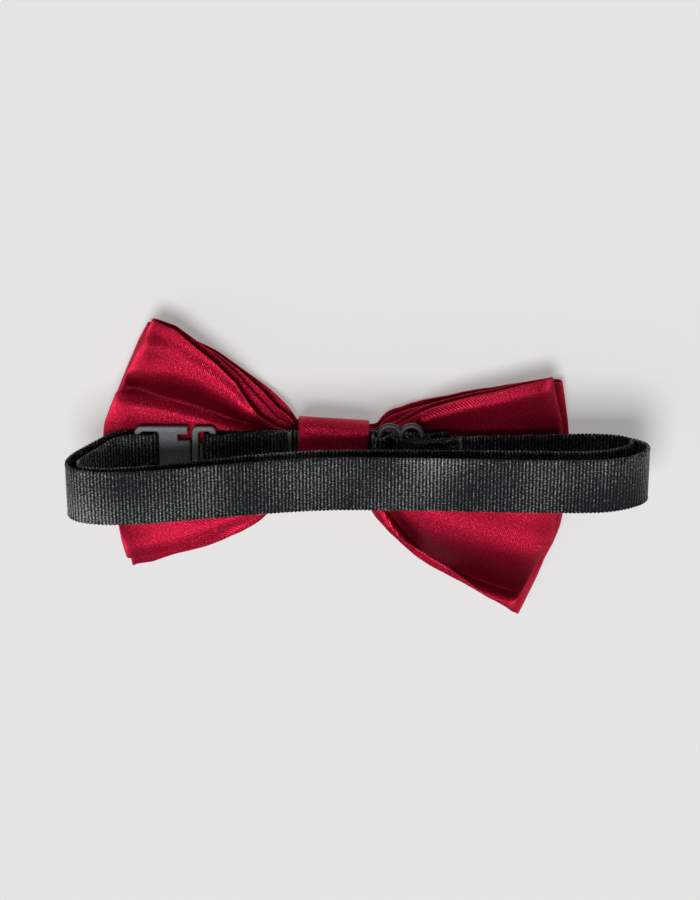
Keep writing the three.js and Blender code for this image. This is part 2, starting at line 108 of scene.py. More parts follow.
world = bpy.data.worlds.new("pale_room")
world.use_nodes = True
world.node_tree.nodes["Background"].inputs["Color"].default_value = colour("#FFFFFF")
world.node_tree.nodes["Background"].inputs["Strength"].default_value = 0.07
bpy.context.scene.world = world
bpy.context.scene.view_settings.view_transform = "Standard"

# Each lamp's name, strength, spread, and tilt from overhead about X and about Y, in degrees.
LAMPS = (("broad_lamp", 2.55, 28, (6, -8)), ("side_fill", 0.4, 60, (28, -50)))
for name, strength, spread, tilt in LAMPS:
    lamp_data = bpy.data.lights.new(name, "SUN")
    lamp_data.energy = strength
    lamp_data.angle = math.radians(spread)
    lamp = new_object(name, lamp_data)
    lamp.rotation_euler = (math.radians(tilt[0]), math.radians(tilt[1]), 0)

camera_data = bpy.data.cameras.new("camera")
camera_data.sensor_fit = "HORIZONTAL"
camera_data.sensor_width = 36
camera_data.lens = 137.4
camera_data.clip_start = 0.01
camera = new_object("camera", camera_data)
CAMERA_TILT = math.radians(20)
CAMERA_REACH = 700
looked_at = np.array([4.435, 2.831, 12])
away = np.array([0, math.sin(CAMERA_TILT), math.cos(CAMERA_TILT)])
camera.location = (looked_at + CAMERA_REACH * away) * MM
camera.rotation_euler = (-CAMERA_TILT, 0, 0)
bpy.context.scene.camera = camera

# ---- Satin loops of the bow -----------------------------------------------------------------
# Two wide strips of folded satin, each closed into a flat loop and gathered at the middle. The
# long edges are soft folds; pleats fan out from the knot, and each loop's ends are rolled folds.
BOW_TURN = math.radians(-7.4)
SATIN_THICKNESS = 0.8
WAIST_HALF_DEPTH = 1.35


def smooth(low, high, value):
    """0 below low, 1 above high, and the cubic 3s^2 - 2s^3 between."""
    share = np.clip((value - low) / (high - low), 0, 1)
    return share * share * (3 - 2 * share)


def mix(a, b, share):
    """a where share is 0 and b where it is 1."""
    return a + (b - a) * share


def hill(value, middle, width):
    """A bell of height 1 about middle: exp(-((value - middle) / width)^2)."""
    return np.exp(-(((value - middle) / width) ** 2))


def turned(points, angle):
    """The points turned about Z by an angle."""
    c, s = math.cos(angle), math.sin(angle)
    return points @ np.array([[c, s, 0], [-s, c, 0], [0, 0, 1]])


def grid_piece(name, points, laid, closed, material, body, ends=()):
    """A mesh from a grid of points in mm. laid gives each point's place on the flat cloth in mm,
    with one more row or column where the grid closes on itself. ends are extra faces. The faces
    are turned outwards by the sign of the volume, the sum of a . (b x c) / 6 over triangles."""
    rows, columns = points.shape[:2]
    i, j = np.meshgrid(np.arange(rows - 1 + closed[0]), np.arange(columns - 1 + closed[1]),
                       indexing="ij")
    i, j = i.ravel(), j.ravel()
    corners = [(i, j), (i + 1, j), (i + 1, j + 1), (i, j + 1)]
    quads = np.stack([(a % rows) * columns + b % columns for a, b in corners], axis=1)
    flat = np.stack([laid[a, b] for a, b in corners], axis=1)
    if len(ends):
        quads = np.concatenate([quads, ends])
        flat = np.concatenate([flat, laid.reshape(-1, 2)[ends]])
    p = points.reshape(-1, 3)
    a, b, c, d = (p[quads[:, k]] for k in range(4))
    if (np.cross(b, c) * a).sum() + (np.cross(c, d) * a).sum() < 0:
        quads, flat = quads[:, ::-1], flat[:, ::-1]
    mesh = bpy.data.meshes.new(name)
    mesh.vertices.add(len(p))
    mesh.vertices.foreach_set("co", (p * MM).ravel())
    mesh.loops.add(quads.size)
    mesh.loops.foreach_set("vertex_index", np.ascontiguousarray(quads).ravel())
    mesh.polygons.add(len(quads))
    mesh.polygons.foreach_set("loop_start", np.arange(0, quads.size, 4))
    mesh.polygons.foreach_set("use_smooth", np.ones(len(quads), bool))
    mesh.uv_layers.new(name="cloth").data.foreach_set("uv", np.ascontiguousarray(flat).ravel())
    mesh.update(calc_edges=True)
    mesh.validate()
    mesh.materials.append(material)
    piece = new_object(name, mesh)
    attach(piece, body)
    return piece


def unit(vectors):
    """The vectors over their lengths."""
    return vectors / np.linalg.norm(vectors, axis=-1, keepdims=True)


def distance_along(line):
    """How far each point of a line lies from its first point, along the line."""
    return np.concatenate([[0], np.cumsum(np.linalg.norm(np.diff(line, axis=0), axis=1))])


# The angles of the points that roll a cloth's edge from its upper face to its lower one.
EDGE_ROLL = np.linspace(0, math.pi, 6)[1:-1]


def thick_cloth(middle, laid, thickness, ring):
    """Both faces of a cloth whose middle surface is a grid, rolled round its first and last
    columns: middle +- normal * thickness / 2, and a half circle of that radius past each edge.
    Gives the points and their places on the flat cloth, closed across the columns."""
    if ring:
        along = np.roll(middle, -1, 0) - np.roll(middle, 1, 0)
    else:
        along = np.gradient(middle, axis=0)
    across = np.gradient(middle, axis=1)
    normal = unit(np.cross(along, across))
    beside = unit(across)
    radius = thickness / 2
    turn = EDGE_ROLL[None, :, None]

    def roll(column, way):
        """The half circle past an edge, from the upper face to the lower."""
        centre, n, b = (x[:, column][:, None] for x in (middle, normal, beside))
        return centre + radius * (n * np.cos(turn) + way * b * np.sin(turn))

    points = np.concatenate([middle + radius * normal, roll(-1, 1),
                             (middle - radius * normal)[:, ::-1], roll(0, -1)[:, ::-1]], axis=1)
    past = radius * EDGE_ROLL
    place = np.concatenate([laid[0, :, 1], laid[0, -1, 1] + past, laid[0, ::-1, 1],
                            laid[0, 0, 1] - past, laid[0, :1, 1]])
    start = np.concatenate([laid[:, 0, 0], laid[-1:, 0, 0] + laid[1, 0, 0] - laid[0, 0, 0]]
                           if ring else [laid[:, 0, 0]])
    flat = np.stack(np.meshgrid(start, place, indexing="ij"), axis=2)
    return points, flat


def wing_half_height(u):
    """Half a wing's height at x = u: 7.8 at the waist, growing by 30 (1 - exp(-d / 21)) over the
    distance d past it."""
    return 7.8 + 30 * (1 - np.exp(-np.maximum(np.abs(u) - 10.4, 0) / 21))


def wing_drop(u):
    """How far a wing hangs below the waist's middle line: 0.8 at the waist and 4.6 beyond it."""
    return mix(0.8, 4.6, smooth(10.4, 30, np.abs(u)))


# How far each ply reaches up and down, as a share of the wing's half height, at these distances.
STATIONS = [0, 8, 12, 16, 20, 24, 28, 34, 40, 48, 60]
PLY_EDGES = {
    ("rear", -1, "near"): ([.75, .72, .62, .54, .60, .74, .88, .94, .98, 1.04, 1.02],
                           [1, 1, 1, .97, .92, .84, .79, .83, .86, .88, .87]),
    ("rear", -1, "far"): ([.80, .80, .70, .64, .75, .84, .92, .96, 1, 1.04, 1.02],
                          [1, 1, 1.05, 1.02, .96, .87, .83, .85, .87, .88, .87]),
    ("rear", 1, "near"): ([.90, .93, .93, .88, .92, .95, .95, .93, .92, .94, .96],
                          [.95, .97, .96, .94, .87, .82, .79, .80, .83, .87, .90]),
    ("rear", 1, "far"): ([.92, .96, .95, .90, .92, .94, .93, .91, .90, .92, .94],
                         [.97, 1, 1, .98, .91, .86, .83, .83, .85, .88, .90]),
    ("front", -1, "near"): ([.92, .92, .84, .78, .86, .91, .95, .96, .95, .96, .93],
                            [1, 1.06, 1.2, 1.2, 1.12, 1.04, 1, .98, .98, 1.0, .98]),
    ("front", -1, "far"): ([.95, .97, .94, .91, .91, .92, .94, .95, .94, .95, .93],
                           [1, 1.1, 1.35, 1.36, 1.22, 1.12, 1.07, 1.04, 1.02, 1.04, 1.01]),
    ("front", 1, "near"): ([.95, 1.1, 1.12, .98, .92, .90, .88, .86, .85, .86, .87],
                           [1, 1.1, 1.3, 1.12, 1.03, .98, .94, .92, .92, .95, 1.0]),
    ("front", 1, "far"): ([1, 1.12, 1.2, 1.0, .94, .91, .89, .87, .855, .865, .88],
                          [1, 1.15, 1.44, 1.22, 1.1, 1.03, .98, .94, .95, .97, 1.03]),
}
# The outline of each rolled end: heights as shares, and the reach there as a share.
END_OUTLINES = {
    ("rear", -1): ([-1, -.875, -.74, -.61, -.3, .05, .17, .42, .49, .555, .8, 1.03],
                   [.822, .838, .869, .891, .955, .995, .998, .962, .938, .934, .888, .838]),
    ("rear", 1): ([-1, -.887, -.61, -.47, -.37, -.27, 0, .3, .51, .63, .73, .844, .958],
                  [.862, .884, .942, .962, .994, 1.003, 1.004, .992, .972, .957, .934, .909, .888]),
    ("front", -1): ([-1.08, -.9, -.6, -.3, 0, .2, .42, .555, .8, 1.03],
                    [.775, .81, .865, .925, .965, .965, .93, .91, .87, .82]),
    ("front", 1): ([-1.03, -.695, -.532, -.40, -.263, -.18, .1, .478, .572, .767, .912],
                   [.893, .948, .969, .994, 1.011, 1.013, 1.008, .983, .971, .939, .914]),
}


def brow_share(d):
    """The share t of the brow above the left wing's deep pleat, at a distance from the knot."""
    return np.interp(d, [12, 22, 30, 38, 46, 52, 60], [.58, .64, .70, .73, .70, .66, .62])


def near_relief(bow, side, u, t, edge_top, edge_bottom):
    """Pleats of a ply that faces the neckband, in mm of height: bells, and ramps that face one
    way, along lines of constant share t, which fan out from the knot because the wing widens."""
    d = np.abs(u)
    if bow == "front":
        return (0.35 * np.sin(9 * t + 0.05 * d) - 0.9 * hill(t, 0.3, 0.3)) * smooth(12, 26, d)
    if side < 0:
        brow = brow_share(d)
        panel = 1.3 * hill(t, 0.36, 0.5) * (1 - smooth(0.4, 0.47, t))
        wedge = smooth(0.4, 0.47, t) * (3.9 * np.clip((t - 0.45) / (brow - 0.45), 0, 1) - 2.2)
        crest = panel + wedge - 1.1 * smooth(brow, brow + 0.3, t)
        roll_at = edge_top - np.interp(d, [12, 24, 36, 52], [.1, .1, .1, .16])
        roll = 0.7 * hill(t, roll_at, 0.07)
        low = -1.1 * hill(t, -0.5, 0.13) + 0.7 * hill(t, -edge_bottom + 0.1, 0.1)
        pinch = -1.2 * hill(t, 0.53, 0.05) * smooth(47, 56, d)
        relief = crest * np.interp(d, [8, 20, 60], [.3, 1, .85]) + roll + low + pinch
    else:
        strip = 1.4 * hill(t, -0.9, 0.2) * (1 - smooth(-0.86, -0.79, t))
        rise = smooth(-0.86, -0.79, t) * (3.9 * np.clip((t + 0.81) / 0.35, 0, 1) - 2.2)
        belly = ((strip + rise - 0.9 * smooth(-0.4, 0.2, t))
                 * np.interp(d, [10, 30, 60], [.7, 1, .8]))
        high_valley = -1.2 * hill(t, 0.62, 0.17)
        high_roll = 0.9 * hill(t, edge_top - 0.09, 0.07)
        relief = belly + high_valley + high_roll
    ripples = 0.12 * np.sin(23 * t + 0.09 * d * side) + 0.1 * np.sin(0.21 * d + 11 * t + side)
    return (relief + ripples) * smooth(9, 19, d)


def far_relief(bow, u, t):
    """Pleats of a ply that faces the table: three soft folds that open into the wing."""
    d = np.abs(u)
    if bow == "rear":
        return 0.15 * np.sin(9 * t + 0.05 * d) * smooth(10, 20, d)
    folds = 1.5 * hill(t, 0.36, 0.12) + 1.3 * hill(t, -0.32, 0.13) + 0.9 * hill(t, 0.05, 0.1)
    return (folds + 0.12 + 0.1 * np.sin(21 * t + 0.07 * d)) * smooth(8, 18, d) * mix(
        1, 0.25, smooth(24, 60, d))


def wing_surface(bow, angle, share):
    """The middle surface of a loop. angle goes round the loop and share t across the strip:
    x = reach cos(angle), shortened towards the corners; y = t times the ply's half height, less
    the drop; z = the loop's middle + half depth sqrt|sin| and the pleats' relief."""
    reach, waist_z, wing_z, half_depth = LOOPS[bow]
    q = np.abs(np.cos(angle))
    u = reach * np.cos(angle)
    opened = smooth(0.13, 0.42, q)
    nearness = 0.5 + 0.5 * np.sin(np.clip(np.sin(angle) / 0.4, -1, 1) * math.pi / 2)

    def for_side(side):
        """The grid as if it were all on one side of the knot."""
        tops, bottoms = zip(*(PLY_EDGES[bow, side, ply] for ply in ("far", "near")))
        top, bottom = (mix(*(np.interp(np.abs(u), STATIONS, row) for row in rows), nearness)
                       for rows in (tops, bottoms))
        t = np.where(share > 0, share * top, share * bottom)
        end = np.interp(t, *END_OUTLINES[bow, side])
        relief = mix(far_relief(bow, u, t), near_relief(bow, side, u, t, top, bottom), nearness)
        return np.stack([u * (1 + (end - 1) * q ** 4),
                         t * wing_half_height(u) - wing_drop(u), relief], axis=-1)

    made = np.where((np.cos(angle) < 0)[..., None], for_side(-1), for_side(1))
    fold = np.sqrt(np.abs(np.sin(angle))) * np.sign(np.sin(angle))
    crown = 1 - mix(0, 0.3, opened) * share ** 4 * np.clip(np.sin(angle), 0, 1)
    depth = mix(WAIST_HALF_DEPTH, half_depth, opened) * fold * crown
    held = smooth(0.02, 0.42, np.abs(np.sin(angle)))
    made[..., 2] = mix(waist_z, wing_z, opened) + depth + made[..., 2] * held
    return made


def painted_pleat_shade(bow, angle, share):
    """How much painted shade a point gets, 0 to 1, on the ply that faces the neckband: it stands
    in for shade deep in a pleat, between the lines of share t where the pleat opens and closes,
    and for a lighter shade over the right wing's upper part; it fades towards the knot."""
    u = LOOPS[bow][0] * np.cos(angle)
    d = np.abs(u)

    def share_on(side):
        """The share t of the ply's half height, as wing_surface has it."""
        top, bottom = (np.interp(d, STATIONS, row) for row in PLY_EDGES[bow, side, "near"])
        return share * np.where(share > 0, top, bottom)

    left, right = share_on(-1), share_on(1)
    brow = brow_share(d)
    wedge = smooth(0.41, 0.47, left) * (1 - smooth(brow - 0.12, brow + 0.04, left))
    gully = smooth(-0.86, -0.8, right) * (1 - smooth(-0.66, -0.3, right))
    # Painted shade over the right wing's upper part, lighter than in a pleat.
    upper = 0.4 * smooth(0.15, 0.4, right)
    deep = np.where(u < 0, wedge, gully + upper) * smooth(10, 22, d)
    return deep * smooth(0, 0.2, np.sin(angle)) * (bow == "rear")


# Reach, height of the gathered waist, height of the wings and half their depth.
LOOPS = {"front": (62, 5.25, 3.2, 2.3), "rear": (60.5, 9.1, 9.0, 2.1)}

# Polyester satin, woven and calendered: a saturated crimson that turns pale where it faces the
# light, with fine diagonal ribs 0.55 mm apart. Its long floats gloss almost as metal does, in the
# dye's own colour, so the shader is part metallic although polyester is no metal.
satin, satin_shader = new_material("crimson_polyester_satin", Roughness=0.36, Metallic=0.65,
                                   Sheen_Weight=0.04, Sheen_Roughness=0.35,
                                   Sheen_Tint=colour("#FF6E90"), Specular_IOR_Level=0.7,
                                   Specular_Tint=colour("#FF86A2"))
cloth_place = add_node(satin, "UVMap", uv_map="cloth").outputs["UV"]
TWILL_ANGLE = math.radians(32)
twill_turn = add_node(satin, "Mapping", {"Vector": cloth_place, "Rotation": (0, 0, TWILL_ANGLE)})
# A wave texture repeats every WAVE_REPEAT / scale, so its scale is WAVE_REPEAT / spacing.
WAVE_REPEAT = 0.314
SATIN_RIB = 0.55
twill = add_node(satin, "TexWave", {"Vector": twill_turn.outputs["Vector"],
                                    "Scale": WAVE_REPEAT / SATIN_RIB, "Distortion": 1.2,
                                    "Detail": 2.0, "Detail Scale": 1.5})
slubs = add_node(satin, "TexNoise", {"Vector": cloth_place, "Scale": 1.9, "Detail": 3.0})
shading = add_node(satin, "TexNoise", {"Vector": cloth_place, "Scale": 0.06, "Detail": 2.0})
depth_of_dye = add_node(satin, "Mix", {"Factor": shading.outputs["Fac"], "A": colour("#A40424"),
                                       "B": colour("#C60C36")}, data_type="RGBA")
# Painted glints: where the slubs' noise runs high, the crimson is drawn towards a pale pink that
# stands in for light caught by the floats.
painted_glint_share = add_node(satin, "MapRange", {"Value": slubs.outputs["Fac"], "From Min": 0.52,
                                           "From Max": 0.74, "To Max": 0.7})
satin_with_painted_glints = add_node(satin, "Mix", {"Factor": painted_glint_share.outputs["Result"],
                                   "A": depth_of_dye.outputs["Result"],
                                   "B": colour("#E8507A")}, data_type="RGBA")
# Painted shade: cloth between the flanks of a pleat, and more lightly the right wing's upper
# part, is drawn towards a dark red that stands in for the shade that falls there.
painted_shade = add_node(satin, "Attribute", attribute_name="painted_shade")
painted_shade_share = add_node(satin, "Math", {0: painted_shade.outputs["Fac"], 1: 0.85}, operation="MULTIPLY")
satin_with_painted_shade = add_node(satin, "Mix", {"Factor": painted_shade_share.outputs["Value"],
                                  "A": satin_with_painted_glints.outputs["Result"],
                                  "B": colour("#4A000A")}, data_type="RGBA")
thread_height = add_node(satin, "Math", {0: twill.outputs["Fac"], 1: slubs.outputs["Fac"]},
                         operation="ADD")
satin_bump = add_node(satin, "Bump", {"Height": thread_height.outputs["Value"], "Strength": 0.6,
                                      "Distance": 0.00015})
set_inputs(satin, satin_shader, {"Base Color": satin_with_painted_shade.outputs["Result"],
                                 "Normal": satin_bump.outputs["Normal"]})

# Points round a loop and across its strip, where EASE crowds them towards the long edges.
AROUND, ACROSS, EASE = 384, 65, 0.93
loop_angle = (np.arange(AROUND) + 0.5) / AROUND * 2 * math.pi
across_share = (np.sin(np.linspace(-1, 1, ACROSS) * math.pi / 2 * EASE)
                / math.sin(math.pi / 2 * EASE))
angle_grid, share_grid = np.meshgrid(loop_angle, across_share, indexing="ij")
STRIP_HEIGHT = 70
# The strip's length along a loop, for each radian and for each mm of reach.
STRIP_PER_RADIAN = 0.66
for bow, (reach, *_) in LOOPS.items():
    middle = turned(wing_surface(bow, angle_grid, share_grid), BOW_TURN)
    strip_place = np.stack([angle_grid * reach * STRIP_PER_RADIAN,
                            share_grid * STRIP_HEIGHT / 2], axis=2)
    points, flat = thick_cloth(middle, strip_place, SATIN_THICKNESS, ring=True)
    loop = grid_piece(f"{bow}_satin_loop", points, flat, (True, True), satin, "tie")
    # The painted shade of each point, kept on the loop as an attribute that the satin reads.
    deep = painted_pleat_shade(bow, angle_grid, share_grid)
    last, first = (np.repeat(deep[:, [column]], len(EDGE_ROLL), axis=1) for column in (-1, 0))
    deep = np.concatenate([deep, last, deep[:, ::-1], first], axis=1)
    loop.data.attributes.new("painted_shade", "FLOAT", "POINT").data.foreach_set("value", deep.ravel())
    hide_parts(f"{bow}_bow")

# ---- Interlinings ---------------------------------------------------------------------------
# A stiff sheet of bonded non-woven lies in each of the four wing pouches and keeps the satin
# flat. It is cut smaller than the pouch and is held by the gathers alone.
INTERLINING_THICKNESS = 0.3
INTERLINING_STARTS, INTERLINING_ENDS = 25, 53
INTERLINING_SHARE = 0.82
WING_HALF_HEIGHT = 34
# Bonded polyester fibre: dull off-white with a short felted grain of about 0.6 mm.
fusible, fusible_shader = new_material("bonded_non_woven", Roughness=0.95, Specular_IOR_Level=0.1)
felt_place = add_node(fusible, "UVMap", uv_map="cloth").outputs["UV"]
fibres = add_node(fusible, "TexNoise", {"Vector": felt_place, "Scale": 1.6, "Detail": 4.0})
fibre_tone = add_node(fusible, "Mix", {"Factor": fibres.outputs["Fac"], "A": colour("#C9C4BC"),
                                       "B": colour("#F2EFEA")}, data_type="RGBA")
fibre_bump = add_node(fusible, "Bump", {"Height": fibres.outputs["Fac"], "Strength": 0.5,
                                        "Distance": 0.0002})
set_inputs(fusible, fusible_shader, {"Base Color": fibre_tone.outputs["Result"],
                                     "Normal": fibre_bump.outputs["Normal"]})


def strip_ends(rows, columns):
    """Faces that close the first and last row of a thick cloth with that many middle columns:
    each point k of the outline is joined to the one facing it, 2 columns + 3 - k."""
    around = 2 * (columns + len(EDGE_ROLL))
    k = np.arange(-2, columns + 1)
    cap = np.stack([k, k + 1, 2 * columns + 2 - k, 2 * columns + 3 - k], axis=1) % around
    return np.concatenate([cap, cap[:, ::-1] + (rows - 1) * around])


for bow, (reach, *_) in LOOPS.items():
    for side, word in ((-1, "left"), (1, "right")):
        from_knot = np.linspace(INTERLINING_STARTS, INTERLINING_ENDS, 24)
        a, t = np.meshgrid(np.arccos(from_knot * side / reach),
                           np.linspace(-INTERLINING_SHARE, INTERLINING_SHARE, 40), indexing="ij")
        middle = turned((wing_surface(bow, a, t) + wing_surface(bow, -a, t)) / 2, BOW_TURN)
        middle[..., 2] += 0.05 * np.sin(9 * t + a * 7)
        points, flat = thick_cloth(middle, np.stack([a * reach, t * WING_HALF_HEIGHT], 2),
                                   INTERLINING_THICKNESS, ring=False)
        lining = grid_piece(f"{bow}_interlining_sheet_{word}", points, flat, (False, True), fusible,
                            "tie", strip_ends(*t.shape))
        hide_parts(f"{bow}_interlining_{word}")

# ---- Thread ---------------------------------------------------------------------------------
# Three-ply polyester sewing thread, 0.5 mm over its plies. It gathers the waist with three
# turns, closes the knot's seam with slanting stitches, and tacks the webbing in rows.
THREAD_RADIUS = 0.25
PLY_LAY = 1.1
THREAD_SIDES = 8
# The spacing of the thread's painted dark and light bands, and of the points along its line.
THREAD_BAND = 0.37
THREAD_STEP = 0.25
# The webbing that the tacks hold has its middle line at this Y.
BAND_Y = 1


def smooth_line(points, spacing):
    """A centripetal Catmull-Rom curve through the points, resampled at an even spacing: on each
    span, three levels of straight blends between the four nearest points."""
    p = np.asarray(points, float)
    p = np.concatenate([[2 * p[0] - p[1]], p, [2 * p[-1] - p[-2]]])
    knots = np.concatenate([[0], np.cumsum(np.linalg.norm(np.diff(p, axis=0), axis=1) ** 0.5)])
    k0, k1, k2, k3 = (knots[i:len(knots) - 3 + i, None, None] for i in range(4))
    p0, p1, p2, p3 = (p[i:len(p) - 3 + i, None] for i in range(4))
    k = k1 + (k2 - k1) * np.linspace(0, 1, 24, endpoint=False)[None, :, None]
    a0, a1, a2 = (mix(*ends) for ends in ((p0, p1, (k - k0) / (k1 - k0)),
                                          (p1, p2, (k - k1) / (k2 - k1)),
                                          (p2, p3, (k - k2) / (k3 - k2))))
    b0, b1 = mix(a0, a1, (k - k0) / (k2 - k0)), mix(a1, a2, (k - k1) / (k3 - k1))
    line = np.concatenate([mix(b0, b1, (k - k1) / (k2 - k1)).reshape(-1, p.shape[1]), p[-2:-1]])
    travelled = distance_along(line)
    at = np.linspace(0, travelled[-1], int(travelled[-1] / spacing) + 2)
    return np.stack([np.interp(at, travelled, axis) for axis in line.T], axis=1)


def thread_piece(name, line, aside, material, body, node):
    """A twisted thread along a line: circles across it whose radius swells and shrinks by a
    tenth as three plies wind round, one turn in PLY_LAY. It stands for a CAD node."""
    way = unit(np.gradient(line, axis=0))
    beside = unit(np.cross(way, aside))
    above = np.cross(way, beside)
    travelled = distance_along(line)
    a, s = np.meshgrid(np.arange(THREAD_SIDES) / THREAD_SIDES * 2 * math.pi, travelled)
    swell = 0.9 + 0.1 * np.cos(3 * (a - 2 * math.pi * s / PLY_LAY))
    ending = np.minimum(s, travelled[-1] - s) / THREAD_RADIUS
    radius = THREAD_RADIUS * swell * np.sqrt(np.clip(0.1 + ending, 0, 1))
    points = line[:, None] + radius[..., None] * (np.cos(a)[..., None] * beside[:, None]
                                                  + np.sin(a)[..., None] * above[:, None])
    around = np.linspace(0, 2 * math.pi * THREAD_RADIUS, THREAD_SIDES + 1)
    flat = np.stack(np.meshgrid(travelled, around, indexing="ij"), axis=2)
    cap = np.array([[0, 1, 2, 3], [0, 3, 4, 7], [4, 5, 6, 7]])
    ends = np.concatenate([cap, cap[:, ::-1] + (len(line) - 1) * THREAD_SIDES])
    piece = grid_piece(name, points, flat, (False, True), material, body, ends)
    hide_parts(node)


def thread_material(name, shade, lit):
    """Spun polyester thread: dull, with bands of painted light and shade along the twist."""
    material, shader = new_material(name, Roughness=0.6, Sheen_Weight=0.3)
    place = add_node(material, "UVMap", uv_map="cloth").outputs["UV"]
    twist = add_node(material, "TexWave", {"Vector": place, "Scale": WAVE_REPEAT / THREAD_BAND,
                                           "Distortion": 0.6}, bands_direction="DIAGONAL")
    # Painted light and shade: the twist's bands run from the shaded tone to the lit one.
    painted_light_and_shade = add_node(material, "Mix", {"Factor": twist.outputs["Fac"], "A": colour(shade),
                                      "B": colour(lit)}, data_type="RGBA")
    set_inputs(material, shader, {"Base Color": painted_light_and_shade.outputs["Result"]})
    return material


red_thread = thread_material("crimson_polyester_thread", "#6E0820", "#B21C42")
black_thread = thread_material("black_polyester_thread", "#0C0D10", "#3A3C42")

turns, per_turn = 3, 48
wound = np.arange(turns * per_turn + 1) / per_turn
lift, sway = np.sin(2 * math.pi * wound), np.cos(2 * math.pi * wound)
# The turns' spacing, half height and half depth, and how far down and up their middle is. A small
# SQUARENESS draws each turn tight round the flat waist.
TURN_PITCH, TURN_HALF_HEIGHT, TURN_HALF_DEPTH = 1.3, 9.23, 4.25
TURN_DROP, TURN_Z = 0.8, 7.15
SQUARENESS = 0.1
gather = np.stack([(wound - turns / 2) * TURN_PITCH,
                   np.sign(sway) * np.abs(sway) ** SQUARENESS * TURN_HALF_HEIGHT - TURN_DROP,
                   TURN_Z + np.sign(lift) * np.abs(lift) ** SQUARENESS * TURN_HALF_DEPTH], axis=1)
thread_piece("gathering_thread", turned(smooth_line(gather, THREAD_STEP), BOW_TURN), (1, 0, 0),
             red_thread, "tie", "gather_thread")

KNOT_TURN = math.radians(-3.7)
STITCHES = 9
STITCH_PITCH = 0.85
# Y and Z of a stitch's two ends, on either side of the seam.
ABOVE_SEAM, BELOW_SEAM = (-7.5, 15.95), (-9.5, 15.75)
stitch = np.arange(2 * STITCHES + 1)
seam = np.stack([(stitch - STITCHES) * STITCH_PITCH,
                 *(np.where(stitch % 2, *ends) for ends in zip(ABOVE_SEAM, BELOW_SEAM))], axis=1)
thread_piece("knot_seam_stitches", turned(smooth_line(seam, 0.2), KNOT_TURN), (0, 0, 1), red_thread,
             "tie", "knot_stitches")


TACK_PITCH = 0.8
TACK_HALF_WIDTH = 5.6


def tack_line(start_x, legs, z):
    """Legs of thread side by side across the webbing, joined by round turns."""
    leg, part = np.meshgrid(np.arange(legs), np.arange(5), indexing="ij")
    way = np.where(leg % 2, -1, 1)
    angle = np.maximum(part - 1, 0) / 4 * math.pi
    x = start_x + leg * TACK_PITCH + TACK_PITCH / 2 * (1 - np.cos(angle))
    y = np.where(part == 0, -TACK_HALF_WIDTH,
                 TACK_HALF_WIDTH + TACK_PITCH / 2 * np.sin(angle)) * way
    line = np.stack([x, y, np.full(x.shape, z)], axis=2).reshape(-1, 3)[:5 * legs - 3]
    return smooth_line(line, THREAD_STEP) + [0, BAND_Y, 0]


for name, node, start_x, z in (("tail_tack", "short_strap_tack", -15.6, 14.95),
                               ("knot_tack_left", "short_strap_anchor_tack", -6.4, 13.55),
                               ("knot_tack_right", "band_anchor_tack", 3.2, 13.55)):
    thread_piece(name, tack_line(start_x, 5, z), (0, 0, 1), black_thread, "tie",
                 node)
# The tab's tack is drawn flat about the tab's middle, then sloped as the tab is and put in place.
TAB_SLOPE = math.atan2(0.85, 3.1)
TAB_PLACE = [30.9, 0, 19.61]
tab_line = tack_line(-1.2, 4, 1.1)
tab_line = tab_line @ np.array([[math.cos(TAB_SLOPE), 0, -math.sin(TAB_SLOPE)], [0, 1, 0],
                                [math.sin(TAB_SLOPE), 0, math.cos(TAB_SLOPE)]]) + TAB_PLACE
thread_piece("tab_tack", tab_line, (0, 0, 1), black_thread, "slider",
             "band_tab_tack")

# ---- Knot -----------------------------------------------------------------------------------
# A folded strip of the same satin is wrapped once round the gathered waist and both strap ends,
# over a stiff lining, and its end laps over its start on the back.
KNOT_HALF_HEIGHT = 11.6
KNOT_DEPTH = 15.6
KNOT_CORNER = 4
KNOT_HALF_WIDTH = 8.9
KNOT_CLOTH = 0.55

# The outline of the wrap across the knot, over two laps: each quarter turn is a corner's centre
# plus the corner radius along the normal, starting on the back face and going down its side.
quarter = np.linspace(90, 180, 25)
normal_angle = np.radians(np.concatenate([quarter + 90 * k for k in range(9)]))
normals = np.stack([np.cos(normal_angle), np.sin(normal_angle)], axis=1)
corner_signs = np.repeat(([[-1, 1], [-1, -1], [1, -1], [1, 1]] * 3)[:9], len(quarter), axis=0)
laps = (corner_signs * [KNOT_HALF_HEIGHT - KNOT_CORNER, KNOT_DEPTH / 2 - KNOT_CORNER]
        + KNOT_CORNER * normals + [0, KNOT_DEPTH / 2])
lap_travel = distance_along(laps)
one_lap = lap_travel[4 * len(quarter)]
# The strip's start lies OVERLAP back from the seam and inside; its end lies outside it.
OVERLAP, SHORT_OF_SEAM = 5, 0.3
travel = np.linspace(one_lap - OVERLAP, 2 * one_lap - SHORT_OF_SEAM, 320)
wrap_y, wrap_z, out_y, out_z = (np.interp(travel, lap_travel, row) for row in (*laps.T, *normals.T))
s, x = np.meshgrid(travel, np.linspace(-1, 1, 41), indexing="ij")
depth_in = np.interp(s, [travel[0], travel[-1]], [0.95, 0.3])
on_back = smooth(3, 12, wrap_z)[:, None]
depth_in = depth_in - on_back * (0.25 * (1 - x ** 4) + 0.07 * np.sin(2.6 * x + 0.5 * s)
                                 + 0.05 * np.sin(7 * x - 0.9 * s))
# The left side is drawn in a little at one place on the back.
drawn_in = 0.03 * on_back * hill(s % one_lap, 68, 6) * (x < 0)
width = (KNOT_HALF_WIDTH - KNOT_CLOTH / 2) * (1 - drawn_in)
y = wrap_y[:, None] - depth_in * out_y[:, None]
z = wrap_z[:, None] - depth_in * out_z[:, None]
# The upper side leans in towards the front, where the gathers are tightest.
y = np.where(y > 0, y * mix(0.74, 0.97, smooth(1, 13, z)), y)
